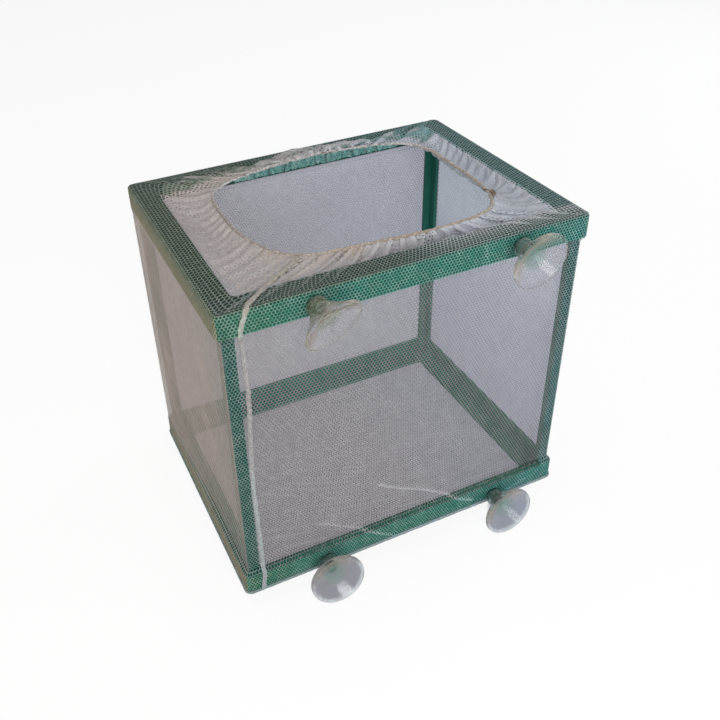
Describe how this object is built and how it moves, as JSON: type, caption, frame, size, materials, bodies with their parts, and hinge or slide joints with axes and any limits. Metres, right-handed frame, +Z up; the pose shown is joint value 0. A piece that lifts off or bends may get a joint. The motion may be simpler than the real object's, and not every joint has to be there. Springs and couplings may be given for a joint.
{
  "type": "fish breeding box",
  "caption": "Net fry box for an aquarium: green plastic rings on corner posts inside a white net bag with an elastic mouth, hung from suction cups.",
  "frame": {"origin": "centre of the flat underside of the base net, on the rings' middle", "axes": "+Z up, -Y out of the front where the suction cups are, +X to the right seen from the front"},
  "size_m": [0.1708, 0.1452, 0.1692],
  "materials": {
    "green_plastic": "moulded, low sheen",
    "white_net": "fine hexagonal tulle",
    "seam_net": "folded tulle",
    "sewing_thread": "twisted thread",
    "elastic": "covered elastic cord",
    "clear_pvc": "clear soft PVC, slightly green"
  },
  "bodies": {
    "box": {"top_frame": "green_plastic", "bottom_frame": "green_plastic", "post_front_left": "green_plastic", "post_front_right": "green_plastic", "post_back_left": "green_plastic", "post_back_right": "green_plastic", "net_front": "white_net", "net_back": "white_net", "net_left": "white_net", "net_right": "white_net", "net_base": "white_net", "net_collar": "white_net", "hem_casing": "seam_net", "elastic_cord": "elastic", "side_seam": "seam_net", "side_stitching": "sewing_thread", "base_seam": "seam_net"},
    "upper_left_cup": {"suction_cup_upper_left": "clear_pvc"},
    "upper_right_cup": {"suction_cup_upper_right": "clear_pvc"},
    "lower_left_cup": {"suction_cup_lower_left": "clear_pvc"},
    "lower_right_cup": {"suction_cup_lower_right": "clear_pvc"}
  },
  "joints": [
    {"name": "upper_left_swivel", "type": "hinge", "parent": "box", "child": "upper_left_cup", "pos_m": [-0.045, -0.0642, 0.1482], "axis": [0, -1, 0], "continuous": true},
    {"name": "upper_right_swivel", "type": "hinge", "parent": "box", "child": "upper_right_cup", "pos_m": [0.048, -0.0642, 0.1482], "axis": [0, -1, 0], "continuous": true},
    {"name": "lower_left_swivel", "type": "hinge", "parent": "box", "child": "lower_left_cup", "pos_m": [-0.045, -0.0642, 0.004], "axis": [0, -1, 0], "continuous": true},
    {"name": "lower_right_swivel", "type": "hinge", "parent": "box", "child": "lower_right_cup", "pos_m": [0.048, -0.0642, 0.004], "axis": [0, -1, 0], "continuous": true}
  ]
}
